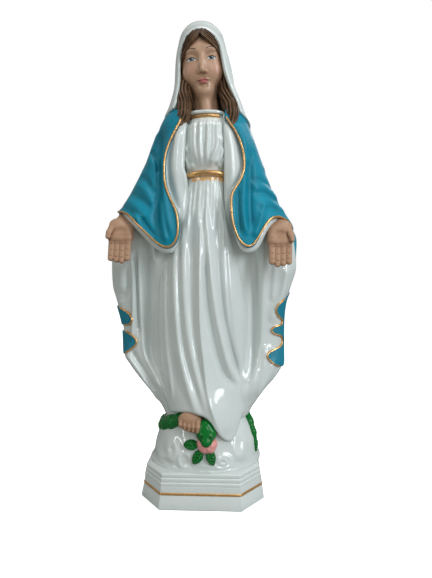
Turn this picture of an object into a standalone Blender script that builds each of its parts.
"""Madonna statue in painted moulded plastic, built as its separate hollow mouldings.

Metres, +Z up. The figure faces -Y with its left hand at +X. The origin is the middle of the
underside. The draped pieces are lofts through a few cross-sections, listed in NOMINAL
millimetres above the table and scaled to the driving sizes by FigureScale.
"""

import math

import bmesh
import bpy
from mathutils import Matrix, Vector

MM = 0.001

# ---- driving dimensions -------------------------------------------------------------------
WALL = 3.0 * MM  # thickness of the moulded shells
FRONT_WALL = 7.0 * MM  # thickness of the lining's folds in front
GAP = 0.3 * MM  # clearance left for the glue between two pieces

FIGURE_WIDTH = 166 * MM  # across the mantle at the hands
FIGURE_DEPTH = 83 * MM  # front to back at the arms
FIGURE_HEIGHT = 340 * MM  # from the hem to the top of the veil

PLINTH_WIDTH = 100 * MM
PLINTH_DEPTH = 92 * MM
CHAMFER_WIDTH = 18 * MM  # of the plinth's cut corners, along X
CHAMFER_DEPTH = 23 * MM  # and along Y
PLINTH_BLOCK_HEIGHT = 11.6 * MM  # the plain lower course
PLINTH_FRIEZE_HEIGHT = 6.2 * MM  # the flat band above the gilt line
PLINTH_REED_HEIGHT = 2.9 * MM  # each of the fine steps
PLINTH_REEDS = 3
REED_INSET = 0.55 * MM
PLINTH_WALL = 3.5 * MM

BASE_PLATE_THICKNESS = 2.7 * MM
BASE_PLATE_LEDGE = 3.5 * MM
VENT_RADIUS = 4.0 * MM
VENT_OFFSET = 22 * MM  # behind the middle of the underside

GLOBE_WIDTH = 92 * MM
GLOBE_DEPTH = 75 * MM
GLOBE_HEIGHT = 53 * MM
HEM_DROP = 20 * MM  # how far the hem hangs below the top of the globe
SPIGOT_RADIUS = 22 * MM  # the ring that locates the globe in the plinth

SERPENT_THICKNESS = 12 * MM
APPLE_RADIUS = 7.8 * MM
LEAF_LENGTH = 12.5 * MM
LEAF_WIDTH = 8 * MM
LEAF_THICKNESS = 4.6 * MM

FINGER_RADIUS = 2.9 * MM
NECK_RADIUS = 12 * MM
BAND_THICKNESS = 2.2 * MM  # how far the gilt belt and neckband stand out
BELT_HEIGHT = 5.4 * MM
NECKBAND_HEIGHT = 4.2 * MM

# ---- derived levels -----------------------------------------------------------------------
PLINTH_HEIGHT = PLINTH_BLOCK_HEIGHT + PLINTH_FRIEZE_HEIGHT + PLINTH_REEDS * PLINTH_REED_HEIGHT
GLOBE_FLOOR = PLINTH_HEIGHT + GAP
GLOBE_TOP = GLOBE_FLOOR + GLOBE_HEIGHT
HEM_LEVEL = GLOBE_TOP - HEM_DROP

NOMINAL_WIDTH = 166.0
NOMINAL_DEPTH = 83.0
NOMINAL_HEIGHT = 340.0
NOMINAL_HEM = 60.0

SIDES = 28  # points round a draped cross-section
FAR = 400 * MM  # reach of a cutter past the whole statue
PARTING_Y = 2 * MM  # front and back mouldings meet on this plane

# ---- cross-sections: height, middle, half width, front, back ------------------------------
GOWN = (
    (42, 10, 26, 38, 22),
    (58, 4, 33, 39, 26),
    (70, 2.5, 35.5, 38, 28),
    (85, 0, 38, 36, 28),
    (110, -2, 39.5, 34, 28),
    (150, -2.5, 41, 33, 28),
    (190, -1.5, 36.5, 32, 27),
    (225, 1, 30, 30, 25),
    (262, 4.5, 23.5, 27, 22),
    (280, 4.5, 27, 31, 23),
    (300, 4.5, 29, 29, 23),
    (316, 4.5, 20, 19, 16),
)
LINING = (
    (60, 2.5, 34.5, 24, 24),
    (66, 2.5, 37, 25, 27),
    (80, 2.2, 45.1, 25, 32),
    (92, 2.1, 56.9, 22, 35),
    (104, 1.4, 65.5, 19, 37),
    (112, -0.8, 68.4, 17.5, 38),
    (135, -1.5, 69, 14.5, 39),
    (160, -3.3, 73.2, 15.2, 39.8),
    (171, -2.8, 76.8, 16, 40),
    (189, -0.9, 79.7, 20, 40),
    (208, -1.4, 78.6, 23, 40),
    (222, -2.9, 75.3, 25, 40),
    (244, -2, 61, 28, 38),
    (270, -1, 48.8, 32, 36),
    (298, 0.2, 36.5, 32, 31),
    (309, 1.4, 30.5, 28, 27),
    (315, 2.8, 24.5, 22, 22),
)
MANTLE = (
    (196, -0.9, 81.6, 40, 42),
    (212, -1.1, 80.8, 40, 43),
    (222, -3, 79, 40, 43),
    (232, -3.7, 74.4, 39.5, 42),
    (244, -2.2, 65.2, 38.5, 41),
    (268, -1, 53.2, 37, 39),
    (293, 0.3, 42.9, 36, 36),
    (305, 0.2, 38.8, 33.5, 33),
    (316, 1.3, 34.2, 28, 30),
    (321, 2.6, 28, 23, 25),
)
VEIL = (
    (290, 0.8, 46, 20, 41),
    (300, 0.8, 43, 25, 39),
    (317, 1.8, 36.4, 29, 36),
    (329, 2.4, 32, 28.4, 34.2),
    (341, 2, 28, 27.5, 32.5),
    (365, 0, 24.5, 25.5, 30),
    (376, -1, 22.5, 22, 27),
    (386, -2, 19, 18, 22),
    (394, -2.5, 13.5, 12, 15),
    (398.5, -2.6, 7, 6, 8),
    (400, -2.6, 2, 2, 2),
)

# ---- outlines seen from the front: across, height ------------------------------------------
MANTLE_OPENING = (
    (-12, 330), (-15.8, 300), (-23.8, 284), (-26.9, 267), (-25.9, 251.5), (-20.2, 237.5),
    (-15.8, 225), (-15.5, 213), (-18.5, 203.5), (-27, 201), (-35.3, 206), (-45.2, 216),
    (-55.4, 226), (-63.3, 231), (-70, 232), (-100, 228), (-100, 180), (100, 180),
    (100, 214), (76, 219), (69, 225), (63, 226.5), (56.2, 224.4), (50.6, 216.7),
    (44.4, 204.8), (39, 201.6), (33, 204.5), (27.2, 215.3), (24.5, 231.7), (25.2, 245.4),
    (32.3, 259), (34.4, 276), (29.2, 291.7), (21.7, 303), (18, 330),
)
BODICE_OPENING = (
    (-16, 190), (-12, 245), (-11.5, 285), (-9, 330), (18.5, 330), (20.5, 285), (20, 245), (18, 190),
)
HEM_CUT = (
    (-100, 62), (-34, 62), (-27, 66), (-17, 69.5), (1, 69.5), (6, 67), (13, 58.5),
    (19, 51.5), (24.5, 48.5), (28.5, 52), (33, 60), (40, 66), (100, 66), (100, 20), (-100, 20),
)
FACE_OPENING = (
    (-26, 280), (-19.5, 316), (-16.8, 335), (-15.8, 355), (-13, 368), (-8, 378), (-2, 382),
    (5, 379), (11, 370), (15.8, 355), (20.7, 335), (32, 316), (37, 300), (38, 280),
)
HAIRLINE = (
    (-19, 320), (-16.5, 352), (-11, 366), (-2, 374), (8, 368), (15.5, 354), (19, 320),
)


# ---- scale of the figure -------------------------------------------------------------------
class FigureScale:
    """Turns nominal millimetres of the figure into metres at the driving sizes."""

    across = FIGURE_WIDTH / NOMINAL_WIDTH
    deep = FIGURE_DEPTH / NOMINAL_DEPTH
    high = FIGURE_HEIGHT / NOMINAL_HEIGHT

    @classmethod
    def height(cls, nominal):
        return HEM_LEVEL + (nominal - NOMINAL_HEM) * cls.high

    @classmethod
    def point(cls, x, y, z):
        return Vector((x * cls.across, y * cls.deep, cls.height(z)))

    @classmethod
    def radii(cls, x, y, z):
        return Vector((x * cls.across, y * cls.deep, z * cls.high))


def smooth_curve(knots):
    """f(t) through (t, value) knots with no overshoot, level beyond both ends."""
    ts = [k[0] for k in knots]
    vs = [k[1] for k in knots]
    rise = [(vs[i + 1] - vs[i]) / (ts[i + 1] - ts[i]) for i in range(len(ts) - 1)]
    slope = [0.0] + [
        0.0 if a * b <= 0 else 2 * a * b / (a + b) for a, b in zip(rise, rise[1:])
    ] + [0.0]
    slope[0] = rise[0]
    slope[-1] = rise[-1]

    def value(t):
        if t <= ts[0]:
            return vs[0]
        if t >= ts[-1]:
            return vs[-1]
        i = max(j for j in range(len(ts) - 1) if ts[j] <= t)
        span = ts[i + 1] - ts[i]
        s = (t - ts[i]) / span
        return (
            (2 * s**3 - 3 * s**2 + 1) * vs[i]
            + (s**3 - 2 * s**2 + s) * span * slope[i]
            + (3 * s**2 - 2 * s**3) * vs[i + 1]
            + (s**3 - s**2) * span * slope[i + 1]
        )

    return value


# ---- building blocks -----------------------------------------------------------------------
def clear_scene():
    for obj in list(bpy.data.objects):
        bpy.data.objects.remove(obj)


def finish_paint(name, colour, roughness, metallic=0.0):
    material = bpy.data.materials.new(name)
    material.use_nodes = True
    shader = material.node_tree.nodes["Principled BSDF"]
    shader.inputs["Base Color"].default_value = (*colour, 1)
    shader.inputs["Roughness"].default_value = roughness
    shader.inputs["Metallic"].default_value = metallic
    material.diffuse_color = (*colour, 1)
    return material


def object_from(name, bm, material=None):
    """An object from bm, in triangles so that every face of a Boolean is flat."""
    bmesh.ops.recalc_face_normals(bm, faces=bm.faces)
    bmesh.ops.triangulate(bm, faces=bm.faces)
    mesh = bpy.data.meshes.new(name)
    bm.to_mesh(mesh)
    bm.free()
    mesh.shade_smooth()
    mesh.set_sharp_from_angle(angle=math.radians(40))
    obj = bpy.data.objects.new(name, mesh)
    bpy.context.scene.collection.objects.link(obj)
    if material:
        mesh.materials.append(material)
    return obj


def loft(name, rings, material=None):
    """A closed solid through rings of points, bottom to top, with flat ends."""
    bm = bmesh.new()
    rows = [[bm.verts.new(p) for p in ring] for ring in rings]
    for lower, upper in zip(rows, rows[1:]):
        for i in range(len(lower)):
            j = (i + 1) % len(lower)
            bm.faces.new((lower[i], lower[j], upper[j], upper[i]))
    bm.faces.new(list(reversed(rows[0])))
    bm.faces.new(rows[-1])
    return object_from(name, bm, material)


def prism(name, outline, y_from, y_to):
    """A cutter: the outline, in nominal figure millimetres, pushed through from front to back."""
    scaled = [FigureScale.point(x, 0, z) for x, z in outline]
    near = [Vector((p.x, y_from, p.z)) for p in scaled]
    far = [Vector((p.x, y_to, p.z)) for p in scaled]
    return cutter(loft(name, [near, far]))


def box(name, low, high):
    bm = bmesh.new()
    bmesh.ops.create_cube(bm, size=1)
    size = Vector(high) - Vector(low)
    middle = (Vector(high) + Vector(low)) / 2
    bmesh.ops.transform(bm, matrix=Matrix.Translation(middle) @ Matrix.Diagonal((*size, 1)), verts=bm.verts)
    return cutter(object_from(name, bm))


def ellipsoid(name, centre, radii, grow=0.0, segments=16, rings=10, turn=None):
    bm = bmesh.new()
    bmesh.ops.create_uvsphere(bm, u_segments=segments, v_segments=rings, radius=1)
    scale = Matrix.Diagonal((*[r + grow for r in radii], 1))
    turned = (turn or Matrix.Identity(3)).to_4x4()
    bmesh.ops.transform(bm, matrix=Matrix.Translation(centre) @ turned @ scale, verts=bm.verts)
    return object_from(name, bm)


def tube(name, path, radii, sides=8):
    """A round bar along a path of points, tapered by its radii."""
    rings = []
    side = Vector((0, 1, 0.3))
    for i, point in enumerate(path):
        ahead = (path[min(i + 1, len(path) - 1)] - path[max(i - 1, 0)]).normalized()
        side = (side - ahead * side.dot(ahead)).normalized()
        up = ahead.cross(side)
        turns = [2 * math.pi * k / sides for k in range(sides)]
        rings.append([point + radii[i] * (side * math.cos(t) + up * math.sin(t)) for t in turns])
    return loft(name, rings)


def cylinder(name, centre, radius, z_from, z_to, sides=32):
    rings = []
    for z in (z_from, z_to):
        turns = [2 * math.pi * k / sides for k in range(sides)]
        rings.append([Vector((centre[0] + radius * math.cos(t), centre[1] + radius * math.sin(t), z)) for t in turns])
    return loft(name, rings)


def cutter(obj):
    obj.hide_render = True
    obj.display_type = "WIRE"
    return obj


def boolean(obj, operation, *others):
    for other in others:
        cutter(other)
        modifier = obj.modifiers.new(f"{operation.lower()} {other.name}", "BOOLEAN")
        modifier.operation = operation
        modifier.solver = "EXACT"
        modifier.object = other
    return obj


def cut(obj, *others):
    return boolean(obj, "DIFFERENCE", *others)


def keep(obj, other):
    return boolean(obj, "INTERSECT", other)


def join(obj, *others):
    return boolean(obj, "UNION", *others)


def painted(obj, material):
    obj.data.materials.clear()
    obj.data.materials.append(material)
    return obj


# ---- draped lofts --------------------------------------------------------------------------
def drape_ring(columns, nominal, grow, power, lift=0.0, front_grow=None):
    """One cross-section of a draped piece: a flattened oval, deeper in front or behind."""
    middle, half, front, back = (column(nominal) for column in columns)
    front_grow = grow if front_grow is None else front_grow
    points = []
    for k in range(SIDES):
        turn = 2 * math.pi * k / SIDES
        c, s = math.cos(turn), math.sin(turn)
        depth = back * FigureScale.deep + grow if s > 0 else front * FigureScale.deep + front_grow
        width = half * FigureScale.across + grow
        x = middle * FigureScale.across + width * math.copysign(abs(c) ** (2 / power), c)
        y = depth * math.copysign(abs(s) ** (2 / power), s)
        points.append(Vector((x, y, FigureScale.height(nominal) + lift)))
    return points


def drape(name, sections, grow=0.0, power=2.0, low=None, high=None, end=None, front_grow=None):
    """A loft through the sections between two nominal heights, grown all round by grow.

    end is how far the flat ends move out and front_grow how far the front does; both follow
    grow unless they are given.
    """
    columns = [smooth_curve([(row[0], row[i]) for row in sections]) for i in range(1, 5)]
    low = sections[0][0] if low is None else low
    high = sections[-1][0] if high is None else high
    heights = [low] + [row[0] for row in sections if low < row[0] < high] + [high]
    end = grow if end is None else end
    rings = []
    for i, nominal in enumerate(heights):
        lift = -end if i == 0 else end if i == len(heights) - 1 else 0.0
        rings.append(drape_ring(columns, nominal, grow, power, lift, front_grow))
    return loft(name, rings)


# ---- plinth and globe ----------------------------------------------------------------------
def octagon(inset, z):
    """The plinth's outline moved in by inset, as its eight corners at height z."""
    half_w, half_d = PLINTH_WIDTH / 2, PLINTH_DEPTH / 2
    length = math.hypot(CHAMFER_WIDTH, CHAMFER_DEPTH)
    nx, ny = CHAMFER_DEPTH / length, CHAMFER_WIDTH / length
    reach = nx * (half_w - CHAMFER_WIDTH) + ny * half_d - inset
    y_end = half_d - inset
    x_side = half_w - inset
    x_end = (reach - ny * y_end) / nx
    y_side = (reach - nx * x_side) / ny
    corners = [(x_end, y_end), (x_side, y_side), (x_side, -y_side), (x_end, -y_end)]
    corners += [(-x, -y) for x, y in corners]
    return [Vector((x, y, z)) for x, y in corners]


def plinth_profile():
    """(inset, height) up the outside of the plinth."""
    edge = 0.5 * MM
    course = 2.0 * MM  # batter of the lower course
    profile = [(edge, 0), (0, edge), (course, PLINTH_BLOCK_HEIGHT - edge), (course + edge, PLINTH_BLOCK_HEIGHT)]
    inset = course + edge
    z = PLINTH_BLOCK_HEIGHT + PLINTH_FRIEZE_HEIGHT
    profile.append((inset, z - edge))
    for _ in range(PLINTH_REEDS):
        inset += REED_INSET
        profile.append((inset, z))
        z += PLINTH_REED_HEIGHT
        profile.append((inset, z - edge))
    profile.append((inset + edge, z))
    return profile


def make_plinth(paint):
    body = loft("plinth", [octagon(inset, z) for inset, z in plinth_profile()], paint)
    ledge_z = BASE_PLATE_THICKNESS + GAP
    ledge = PLINTH_WALL + BASE_PLATE_LEDGE
    ceiling = PLINTH_HEIGHT - PLINTH_WALL
    hollow = [octagon(PLINTH_WALL, -MM), octagon(PLINTH_WALL, ledge_z), octagon(ledge, ledge_z), octagon(ledge, ceiling)]
    return cut(
        body,
        loft("plinth_hollow", hollow),
        cylinder("plinth_socket", (0, 0), SPIGOT_RADIUS, ceiling - MM, PLINTH_HEIGHT + MM),
    )


def make_base_plate(paint):
    inset = PLINTH_WALL + GAP
    plate = loft("base_plate", [octagon(inset, 0), octagon(inset, BASE_PLATE_THICKNESS)], paint)
    vent = cylinder("vent_hole", (0, VENT_OFFSET), VENT_RADIUS, -MM, BASE_PLATE_THICKNESS + MM, 20)
    return cut(plate, vent)


def globe_radii(z, grow=0.0):
    """Half width and half depth of the globe at height z, and 0 above its top."""
    share = min(1.0, (z - GLOBE_FLOOR) / (GLOBE_HEIGHT + grow))
    around = math.sqrt(max(0.0, 1 - share**2))
    return (GLOBE_WIDTH / 2 + grow) * around, (GLOBE_DEPTH / 2 + grow) * around


def globe_point(turn_deg, z, out=0.0):
    """A point on the globe: turned from the front towards -X, out past the skin."""
    a, b = globe_radii(z)
    t = math.radians(turn_deg)
    x, y = -math.sin(t), -math.cos(t)
    return Vector((x * (a + out), y * (b + out), z))


def globe_front(x, z, out=0.0):
    """The point of the globe's front at x across and height z, out past the skin."""
    a, b = globe_radii(z)
    share = max(-0.99, min(0.99, x / a))
    return Vector((x, -b * math.sqrt(1 - share**2) - out, z))


def globe_dome(name, grow=0.0, floor=None):
    floor = GLOBE_FLOOR if floor is None else floor
    top = GLOBE_FLOOR + GLOBE_HEIGHT + grow
    rings = []
    steps = 8
    for i in range(steps):
        z = floor + (top - floor) * math.sin(math.pi / 2 * i / steps)
        a, b = globe_radii(max(z, GLOBE_FLOOR), grow)
        turns = [2 * math.pi * k / SIDES for k in range(SIDES)]
        rings.append([Vector((a * math.cos(t), b * math.sin(t), z)) for t in turns])
    return loft(name, rings)


def globe_clearance(name):
    return cutter(globe_dome(name, GAP, GLOBE_FLOOR - GAP))


def make_globe(paint):
    body = painted(globe_dome("globe"), paint)
    spigot_foot = GLOBE_FLOOR - PLINTH_WALL
    spigot = cylinder("globe_spigot", (0, 0), SPIGOT_RADIUS - GAP, spigot_foot, GLOBE_FLOOR + WALL / 2)
    bore = cylinder("globe_bore", (0, 0), SPIGOT_RADIUS - GAP - WALL, spigot_foot - MM, GLOBE_FLOOR + WALL + MM)
    hollow = globe_dome("globe_hollow", -WALL, GLOBE_FLOOR + WALL)
    return cut(join(body, spigot), bore, hollow)


# ---- serpent, apple and leaves -------------------------------------------------------------
SERPENT_ROUTE = (  # turn round the globe, height above its floor, thickness share
    (24, 36, 0.62), (42, 33, 0.8), (62, 30, 0.95), (84, 27, 1.0), (112, 27, 1.0), (140, 29, 1.0),
    (168, 32, 0.98), (196, 35, 0.95), (222, 38, 0.9), (248, 40, 0.85), (266, 39, 0.8),
    (280, 34, 0.72), (287, 26, 0.6), (291, 17, 0.42), (292, 9, 0.2),
)
SERPENT_HEAD = (  # height above the globe's floor, half width, half depth
    (19.5, 2.4, 2.0), (22, 5.0, 3.8), (26, 7.0, 5.2), (30, 8.6, 5.8), (34, 7.6, 5.6), (38, 4.8, 4.4), (41, 1.6, 1.8),
)
SERPENT_HEAD_X = 5.8 * MM
APPLE_X = 5.8 * MM
APPLE_HEIGHT = 22 * MM  # above the globe's floor
LEAVES = (  # name, middle across, height above the globe's floor, tip direction in degrees
    ("leaf_side", -8.2, 19.8, 180),
    ("leaf_lower_left", -1.6, 10.6, 236),
    ("leaf_lower_right", 10.2, 10.4, 296),
)


def serpent_tube(name, grow=0.0):
    path = [globe_point(turn, GLOBE_FLOOR + height * MM, 0.6 * MM) for turn, height, _ in SERPENT_ROUTE]
    radii = [SERPENT_THICKNESS / 2 * share + grow for _, _, share in SERPENT_ROUTE]
    return tube(name, path, radii)


def make_serpent_body(paint):
    return cut(painted(serpent_tube("serpent_body"), paint), globe_clearance("serpent_seat"))


def serpent_head_solid(name, grow=0.0):
    rings = []
    sides = 12
    for i, (height, half_w, half_d) in enumerate(SERPENT_HEAD):
        end = -grow if i == 0 else grow if i == len(SERPENT_HEAD) - 1 else 0.0
        middle = globe_front(SERPENT_HEAD_X, GLOBE_FLOOR + height * MM, 2.5 * MM)
        ring = []
        for k in range(sides):
            t = 2 * math.pi * k / sides
            x = (half_w * MM + grow) * math.cos(t)
            y = (half_d * MM + grow) * math.sin(t)
            ring.append(middle + Vector((x, y, end)))
        rings.append(ring)
    return loft(name, rings)


def apple_solid(name, grow=0.0):
    centre = globe_front(APPLE_X, GLOBE_FLOOR + APPLE_HEIGHT, 4.6 * MM - APPLE_RADIUS)
    return ellipsoid(name, centre, (APPLE_RADIUS,) * 3, grow, 18, 12)


def make_serpent_head(paint):
    head = painted(serpent_head_solid("serpent_head"), paint)
    return cut(head, globe_clearance("serpent_head_seat"), apple_solid("apple_bite", GAP))


def make_apple(paint):
    return cut(painted(apple_solid("apple"), paint), globe_clearance("apple_seat"))


def make_leaf(name, across, height, direction_deg, paint):
    z = GLOBE_FLOOR + height * MM
    centre = globe_front(across * MM, z)
    outward = Vector((centre.x / (GLOBE_WIDTH / 2) ** 2, centre.y / (GLOBE_DEPTH / 2) ** 2,
                      (z - GLOBE_FLOOR) / GLOBE_HEIGHT**2)).normalized()
    along = Vector((math.cos(math.radians(direction_deg)), 0, math.sin(math.radians(direction_deg))))
    along = (along - outward * along.dot(outward)).normalized()
    turn = Matrix((along, outward.cross(along), outward)).transposed()
    radii = (LEAF_LENGTH / 2, LEAF_WIDTH / 2, LEAF_THICKNESS / 2)
    leaf = painted(ellipsoid(name, centre, radii, 0, 14, 8, turn), paint)
    return cut(leaf, globe_clearance(f"{name}_seat"), apple_solid(f"{name}_apple", GAP))


# ---- head, hair and veil -------------------------------------------------------------------
SKULL = ((-1, -1, 361), (18.5, 23, 27))  # middle and radii, nominal
JAW = ((1, -8.5, 345), (14, 15, 17))
NECK = ((4.5, -2, 298), (3.5, -2, 316), (1.5, 0, 345))
LOCKS = {
    "hair_lock_left": ((-15.5, -11, 350), (-17.5, -15, 335), (-17, -19, 318), (-15.5, -26, 303)),
    "hair_lock_right": ((16.5, -11, 350), (20, -14, 335), (24.5, -19, 318), (27, -25, 304)),
}
LOCK_RADII = (3.6, 4.6, 6.0, 3.4)


def head_solid(name, grow=0.0):
    skull = ellipsoid(name, FigureScale.point(*SKULL[0]), FigureScale.radii(*SKULL[1]), grow)
    jaw = ellipsoid(f"{name}_jaw", FigureScale.point(*JAW[0]), FigureScale.radii(*JAW[1]), grow)
    path = [FigureScale.point(*p) for p in NECK]
    neck = tube(f"{name}_neck", path, [NECK_RADIUS + grow, NECK_RADIUS * 0.95 + grow, NECK_RADIUS * 0.85 + grow], 16)
    return join(skull, jaw, neck)


def make_head(paint):
    head = painted(head_solid("head"), paint)
    path = [FigureScale.point(*p) for p in NECK]
    path[0].z -= MM
    bore = tube("head_bore", path, [(NECK_RADIUS - WALL) * share for share in (1.0, 0.95, 0.8)], 16)
    inside = ellipsoid("head_hollow", FigureScale.point(*SKULL[0]), [r - WALL for r in FigureScale.radii(*SKULL[1])])
    return cut(head, join(bore, inside))


def lock_solid(name, route, grow=0.0):
    path = [FigureScale.point(*p) for p in route]
    return tube(name, path, [r * MM + grow for r in LOCK_RADII], 12)


def hair_dome(name, grow=0.0):
    """The dome of hair between the skull and the veil, above the ears."""
    return ellipsoid(name, FigureScale.point(-1, -0.4, 361), FigureScale.radii(20.3, 24.6, 29), grow, 20, 12)


def make_hair_cap(paint):
    low = FigureScale.height(351)
    above = box("hair_cap_above", (-FAR, -FAR, low), (FAR, FAR, FAR * 2))
    hair = keep(painted(hair_dome("hair_cap"), paint), above)
    return cut(hair, prism("hairline", HAIRLINE, -FAR, 0), head_solid("hair_cap_fit", GAP))


def filled_body(name):
    """Everything inside the mantle's outside, as one cutter per piece that rests on it."""
    return cutter(drape(name, MANTLE, GAP, 2.3, low=240))


def make_hair_lock(name, paint):
    lock = painted(lock_solid(name, LOCKS[name]), paint)
    cut(lock, head_solid(f"{name}_head", GAP), filled_body(f"{name}_mantle"))
    cut(lock, hair_dome(f"{name}_cap", GAP))
    return lock


def make_veil(paint):
    veil = painted(drape("veil", VEIL, 0, 2.15), paint)
    hollow = drape("veil_hollow", VEIL, -WALL, 2.15, end=0.0, high=394)
    shoulder = FigureScale.height(319)
    chest = box("veil_front_hem", (-FAR, -FAR, 0), (FAR, -0.5 * MM, shoulder))
    below = drape("veil_under", VEIL, -WALL, 2.15, end=2 * MM, high=320)
    cut(veil, hollow, below, prism("face_opening", FACE_OPENING, -FAR, -2 * MM), chest)
    cut(veil, filled_body("veil_mantle"))
    for name, route in LOCKS.items():
        cut(veil, lock_solid(f"veil_{name}", route, GAP))
    return cut(veil, hair_dome("veil_hair", GAP), head_solid("veil_head", GAP))


# ---- gown, belt and neckband ---------------------------------------------------------------
def gown_solid(name, grow=0.0):
    return drape(name, GOWN, grow, 2.0)


def foot_solid(name, grow=0.0):
    """The foot under the hem: an instep and five toes, resting on the globe."""
    instep = ellipsoid(name, FigureScale.point(-7.8, -29.5, 65.5), (9.5 * MM, 8.5 * MM, 6.8 * MM), grow, 12, 8)
    toes = []
    for k in range(5):
        x = -14.6 + 3.5 * k
        root = FigureScale.point(x, -33.0, 65)
        tip = FigureScale.point(x, -36.6, 60.4 - 0.5 * k)
        radius = (1.9 + 0.12 * k) * MM + grow
        toes.append(tube(f"{name}_toe_{k}", [root, tip], [radius, radius * 0.85], 6))
    return join(instep, *toes)


def make_foot(paint):
    foot = painted(foot_solid("foot"), paint)
    return cut(foot, globe_clearance("foot_seat"), cutter(serpent_tube("foot_serpent", GAP)),
               cutter(serpent_head_solid("foot_serpent_head", GAP)))


def cut_over_globe(obj):
    """Clears the globe, the serpent and the foot out of a draped piece."""
    name = obj.name
    return cut(obj, globe_clearance(f"{name}_globe"), serpent_tube(f"{name}_serpent", GAP))


def make_gown(paint):
    gown = painted(gown_solid("gown"), paint)
    hollow = drape("gown_hollow", GOWN, -WALL, 2.0, high=306, end=MM)
    path = [FigureScale.point(*p) for p in NECK]
    path[0].z -= GAP
    neck = tube("gown_neck", path[:3], [NECK_RADIUS + GAP] * 2 + [NECK_RADIUS * 0.9 + GAP], 16)
    cut(gown, hollow, neck, prism("hem_cut", HEM_CUT, -FAR, 0))
    cut_over_globe(gown)
    return cut(gown, foot_solid("gown_foot", GAP), serpent_head_solid("gown_serpent_head", GAP))


def make_band(name, nominal, height, left, right, paint):
    """A gilt band across the front of the gown, seated on it with the glue gap."""
    half = height / 2 / FigureScale.high / MM
    band = painted(drape(name, GOWN, BAND_THICKNESS, 2.0, low=nominal - half, high=nominal + half, end=0.0), paint)
    z = FigureScale.height(nominal)
    ends = box(f"{name}_ends", (left * FigureScale.across, -FAR, z - height), (right * FigureScale.across, -4 * MM, z + height))
    return cut(keep(band, ends), cutter(gown_solid(f"{name}_seat", GAP)))


# ---- lining, mantle and hands --------------------------------------------------------------
HAND_RAYS = (  # root across, root height, tip across, tip height, of the figure's right hand
    (-71.2, 209, -70.6, 194.6), (-66.0, 208, -65.6, 192.6), (-60.8, 208, -60.6, 193.4), (-56.0, 209, -57.0, 196.5),
)
HAND_Y = -29.0
THUMB = ((-69, -29, 222), (-73.2, -31, 214), (-73.6, -32.5, 208))
WRIST = ((-63.5, -28.5, 217), (-61, -22, 236), (-58, -14, 250))
HAND_LEFT_DROP = -4.5  # the figure's left hand hangs a little lower


def hand_solid(name, side, grow=0.0):
    """A palm, four fingers, a thumb and the wrist that plugs into the sleeve.

    side is -1 for the hand at -X and 1 for the hand at +X.
    """
    drop = HAND_LEFT_DROP if side > 0 else 0.0

    def place(x, y, z):
        return FigureScale.point(-side * x, y, z + drop)

    palm = ellipsoid(name, place(-63.6, HAND_Y, 214.5), (10.6 * MM, 4.6 * MM, 11.5 * MM), grow, 12, 8)
    rays = []
    radius = FINGER_RADIUS + grow
    for k, (x0, z0, x1, z1) in enumerate(HAND_RAYS):
        path = [place(x0, HAND_Y, z0 + 3), place(x0, HAND_Y - 1, z0), place(x1, HAND_Y + 1, z1), place(x1, HAND_Y + 2, z1 - 2.4)]
        rays.append(tube(f"{name}_finger_{k}", path, [radius, radius, radius * 0.9, radius * 0.55], 6))
    rays.append(tube(f"{name}_thumb", [place(*p) for p in THUMB], [radius * 1.1, radius, radius * 0.75], 6))
    rays.append(tube(f"{name}_wrist", [place(*p) for p in WRIST], [7 * MM + grow, 6.5 * MM + grow, 5 * MM + grow], 10))
    return join(palm, *rays)


def front_of_parting():
    return box("front_mould", (-FAR, -FAR, -FAR), (FAR, PARTING_Y - GAP / 2, FAR * 2))


def side_of_middle(side):
    middle = 4 * MM * FigureScale.across
    low, high = (-FAR, middle) if side < 0 else (middle, FAR)
    return box(f"side_{'left' if side < 0 else 'right'}", (low, -FAR, -FAR), (high, FAR, FAR * 2))


def make_lining(name, side, paint):
    """The white lining of one side: a front skin from the neck to the hem."""
    lining = painted(drape(name, LINING, 0, 2.4), paint)
    keep(keep(lining, front_of_parting()), side_of_middle(side))
    cut(lining, prism(f"{name}_bodice", BODICE_OPENING, -FAR, PARTING_Y + MM))
    cut_over_globe(lining)
    cut(lining, hand_solid(f"{name}_hand", side, GAP))
    thick = -FRONT_WALL
    hollow = drape(f"{name}_hollow", LINING, -WALL, 2.4, end=0.0, high=311, front_grow=thick)
    under = drape(f"{name}_under", LINING, -WALL, 2.4, end=2 * MM, high=66, front_grow=thick)
    return cut(lining, hollow, under, gown_solid(f"{name}_gown", GAP))


def make_mantle_front(name, side, paint):
    """The blue mantle over one shoulder and arm, ending in its hanging lobe."""
    mantle = painted(drape(name, MANTLE, 0, 2.3), paint)
    keep(keep(mantle, front_of_parting()), side_of_middle(side))
    cut(mantle, prism(f"{name}_opening", MANTLE_OPENING, -FAR, PARTING_Y + MM))
    neck = [FigureScale.point(*p) for p in NECK]
    cut(mantle, tube(f"{name}_neck", neck, [NECK_RADIUS + 2 * GAP] * 3, 16))
    cut(mantle, hand_solid(f"{name}_hand", side, GAP))
    cut(mantle, drape(f"{name}_sleeve", MANTLE, -WALL, 2.3, high=236, end=MM))
    return cut(mantle, drape(f"{name}_lining", LINING, GAP, 2.4), gown_solid(f"{name}_gown", GAP))


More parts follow.
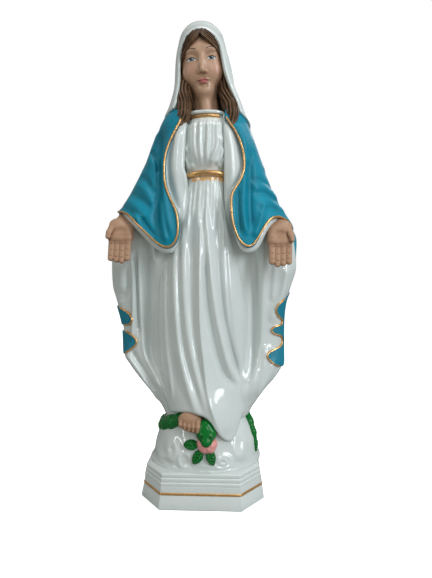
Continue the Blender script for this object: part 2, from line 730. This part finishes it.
def make_mantle_back(paint):
    """The back moulding: the mantle from the shoulders to the hem, open in front."""
    shoulders = [row for row in MANTLE if row[0] > 204]
    sections = tuple(row for row in LINING if row[0] < 200) + tuple(shoulders)
    back = painted(drape("mantle_back", sections, 0, 2.35), paint)
    hollow = drape("mantle_back_hollow", sections, -WALL, 2.35, end=0.0, high=317)
    under = drape("mantle_back_under", sections, -WALL, 2.35, end=2 * MM, high=66)
    behind = box("back_mould", (-FAR, PARTING_Y + GAP / 2, -FAR), (FAR, FAR, FAR * 2))
    neck = [FigureScale.point(*p) for p in NECK]
    cut(keep(back, behind), tube("mantle_back_neck", neck, [NECK_RADIUS + 2 * GAP] * 3, 16))
    cut_over_globe(back)
    return cut(back, hollow, under, gown_solid("mantle_back_gown", GAP))


def main():
    clear_scene()
    white = finish_paint("glossy_white", (0.80, 0.82, 0.80), 0.18)
    blue = finish_paint("mantle_blue", (0.02, 0.25, 0.36), 0.45)
    skin = finish_paint("flesh", (0.50, 0.30, 0.20), 0.5)
    hair = finish_paint("brown_hair", (0.10, 0.06, 0.04), 0.5)
    gilt = finish_paint("gilt", (0.65, 0.38, 0.13), 0.3, 0.9)
    green = finish_paint("serpent_green", (0.01, 0.20, 0.04), 0.25)
    pink = finish_paint("apple_pink", (0.65, 0.24, 0.26), 0.35)

    make_plinth(white)
    make_base_plate(white)
    make_globe(white)
    make_serpent_body(green)
    make_serpent_head(green)
    make_apple(pink)
    for name, across, height, direction in LEAVES:
        make_leaf(name, across, height, direction, green)
    make_foot(skin)
    make_gown(white)
    make_band("belt", 261.5, BELT_HEIGHT, -10.8, 19.9, gilt)
    make_band("neckband", 308.4, NECKBAND_HEIGHT, -8.0, 17.4, gilt)
    for side, word in ((-1, "right"), (1, "left")):
        make_lining(f"lining_{word}", side, white)
        make_mantle_front(f"mantle_front_{word}", side, blue)
        painted(hand_solid(f"hand_{word}", side), skin)
    make_mantle_back(blue)
    make_head(skin)
    make_hair_cap(hair)
    for name in LOCKS:
        make_hair_lock(name, hair)
    make_veil(white)


main()
